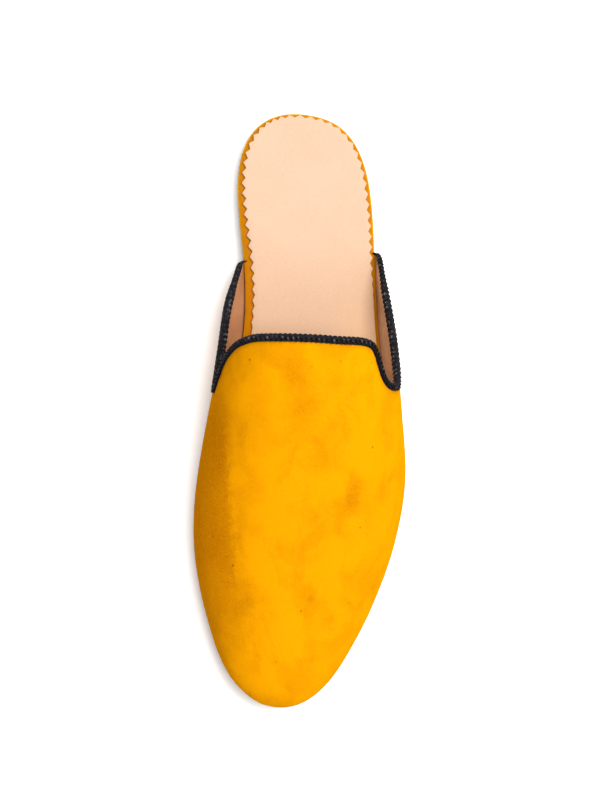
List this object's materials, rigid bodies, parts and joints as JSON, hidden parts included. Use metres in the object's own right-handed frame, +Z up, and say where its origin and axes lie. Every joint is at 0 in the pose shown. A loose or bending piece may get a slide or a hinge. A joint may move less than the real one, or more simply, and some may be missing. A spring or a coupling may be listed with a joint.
{
  "type": "slipper",
  "caption": "Backless babouche slipper for the left foot in mustard suede, with a black braided topline, a pinked leather sock and a low heel.",
  "frame": {"origin": "on the floor under the middle of the slipper's length and width", "axes": "+X to the lateral side, +Y to the heel, +Z up"},
  "size_m": [0.0935, 0.2626, 0.0728],
  "materials": {
    "suede": "napped",
    "dyed_leather": "satin",
    "sock_leather": "matte",
    "sole_leather": "satin",
    "heel_rubber": "matte",
    "braid": "matte"
  },
  "bodies": {
    "root": {"outsole": "sole_leather", "heel_lift": "heel_rubber", "footbed": "dyed_leather", "sock": "sock_leather", "upper": "suede", "topline_braid": "braid"}
  },
  "joints": []
}
